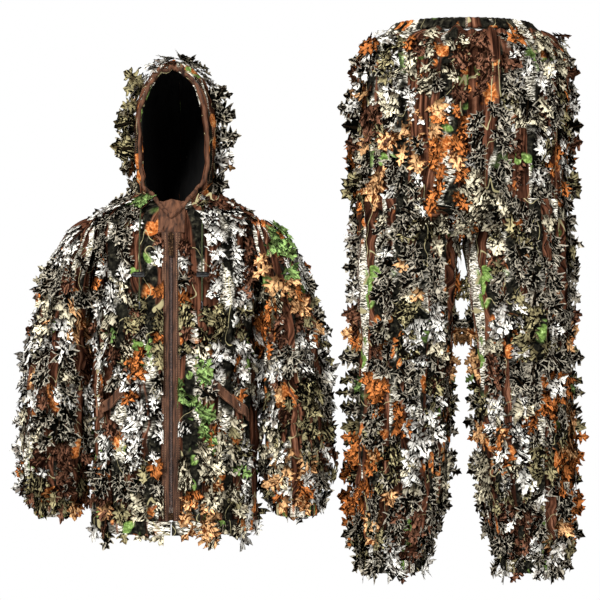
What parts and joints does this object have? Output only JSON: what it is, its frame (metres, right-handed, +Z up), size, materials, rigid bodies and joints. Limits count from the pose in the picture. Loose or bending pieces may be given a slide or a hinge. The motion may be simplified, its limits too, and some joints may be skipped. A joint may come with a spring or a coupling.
{
  "type": "ghillie suit",
  "caption": "Leafy camouflage suit in two garments: a hooded zip jacket with drawcords and slanted pockets, and elasticated trousers, filled out as worn.",
  "frame": {"origin": "middle of the jacket's neck opening, where a coat hanger holds the suit", "axes": "+Z up, -Y to the front of the garments, +X to the wearer's left; the trousers hang beside the jacket on +X"},
  "size_m": [1.1058, 0.2533, 1.087],
  "materials": {
    "leafy_cloth": "matte printed knit with cut leaves sewn on",
    "brown_cloth": "matte bark-brown printed knit",
    "lining": "matte black mesh",
    "elastic": "ribbed woven elastic",
    "cord": "braided polyester",
    "black_plastic": "glossy moulded",
    "zip_metal": "dark brown enamelled",
    "spring_steel": "bright wire"
  },
  "bodies": {
    "jacket": {"neck_placket": "brown_cloth", "jacket_back": "leafy_cloth", "jacket_front_left": "leafy_cloth", "jacket_front_right": "leafy_cloth", "neck_edge": "brown_cloth", "hem_band": "leafy_cloth", "hem_elastic": "elastic", "pocket_welt_left": "brown_cloth", "pocket_welt_right": "brown_cloth", "pocket_bag_left": "lining", "pocket_bag_right": "lining", "zip_tape_left": "brown_cloth", "zip_tape_right": "brown_cloth", "zip_stop_left": "zip_metal", "zip_stop_right": "zip_metal", "zip_chain": "zip_metal", "zip_end_box": "zip_metal", "cord_eyelet_left": "zip_metal", "cord_eyelet_right": "zip_metal", "hood_cord_left": "cord", "hood_cord_right": "cord", "cord_tip_left": "black_plastic", "cord_tip_right": "black_plastic"},
    "hood": {"hood_left": "leafy_cloth", "hood_right": "leafy_cloth", "hood_hem": "brown_cloth"},
    "zip_slider": {"zip_slider": "zip_metal", "zip_slider_back": "zip_metal"},
    "zip_pull": {"zip_pull": "zip_metal"},
    "trousers": {"waistband": "leafy_cloth", "waist_elastic": "elastic", "seat_front_left": "leafy_cloth", "seat_front_right": "leafy_cloth", "seat_back_left": "leafy_cloth", "seat_back_right": "leafy_cloth"},
    "sleeve_left": {"sleeve_front_left": "leafy_cloth", "sleeve_back_left": "leafy_cloth", "sleeve_cuff_left": "leafy_cloth", "sleeve_elastic_left": "elastic"},
    "cord_lock_left": {"cord_lock_left": "black_plastic", "cord_lock_spring_left": "spring_steel"},
    "cord_lock_button_left": {"cord_lock_button_left": "black_plastic"},
    "leg_left": {"leg_front_left": "leafy_cloth", "leg_back_left": "leafy_cloth", "leg_cuff_left": "leafy_cloth", "leg_elastic_left": "elastic"},
    "sleeve_right": {"sleeve_front_right": "leafy_cloth", "sleeve_back_right": "leafy_cloth", "sleeve_cuff_right": "leafy_cloth", "sleeve_elastic_right": "elastic"},
    "cord_lock_right": {"cord_lock_right": "black_plastic", "cord_lock_spring_right": "spring_steel"},
    "cord_lock_button_right": {"cord_lock_button_right": "black_plastic"},
    "leg_right": {"leg_front_right": "leafy_cloth", "leg_back_right": "leafy_cloth", "leg_cuff_right": "leafy_cloth", "leg_elastic_right": "elastic"}
  },
  "joints": [
    {"name": "hood_fold", "type": "hinge", "parent": "jacket", "child": "hood", "pos_m": [0, 0.09, 0.0032], "axis": [-1, 0, 0], "range_deg": [0, 90]},
    {"name": "zip_slide", "type": "slide", "parent": "jacket", "child": "zip_slider", "axis": [0, 0, -1], "range_m": [0, 0.52]},
    {"name": "zip_pull_swing", "type": "hinge", "parent": "zip_slider", "child": "zip_pull", "pos_m": [0, -0.12265, -0.0836], "axis": [-1, 0, 0], "range_deg": [0, 150]},
    {"name": "trousers_apart", "type": "slide", "parent": "jacket", "child": "trousers", "axis": [1, 0, 0], "range_m": [0, 0.12]},
    {"name": "sleeve_raise_left", "type": "hinge", "parent": "jacket", "child": "sleeve_left", "pos_m": [0.1683, 0, -0.112], "axis": [-1, 0, 0], "range_deg": [-25, 80]},
    {"name": "cord_lock_slide_left", "type": "slide", "parent": "jacket", "child": "cord_lock_left", "axis": [0, 0, 1], "range_m": [-0.042, 0.036]},
    {"name": "cord_lock_press_left", "type": "slide", "parent": "cord_lock_left", "child": "cord_lock_button_left", "axis": [-1, 0, 0], "range_m": [0, 0.003], "stiffness_N_per_m": 150, "springref_m": -0.002},
    {"name": "leg_swing_left", "type": "hinge", "parent": "trousers", "child": "leg_left", "pos_m": [0.572, 0, -0.02], "axis": [-1, 0, 0], "range_deg": [-20, 20]},
    {"name": "sleeve_raise_right", "type": "hinge", "parent": "jacket", "child": "sleeve_right", "pos_m": [-0.1683, 0, -0.112], "axis": [-1, 0, 0], "range_deg": [-25, 80]},
    {"name": "cord_lock_slide_right", "type": "slide", "parent": "jacket", "child": "cord_lock_right", "axis": [0, 0, 1], "range_m": [-0.042, 0.036]},
    {"name": "cord_lock_press_right", "type": "slide", "parent": "cord_lock_right", "child": "cord_lock_button_right", "axis": [1, 0, 0], "range_m": [0, 0.003], "stiffness_N_per_m": 150, "springref_m": -0.002},
    {"name": "leg_swing_right", "type": "hinge", "parent": "trousers", "child": "leg_right", "pos_m": [0.572, 0, -0.02], "axis": [-1, 0, 0], "range_deg": [-20, 20]}
  ]
}
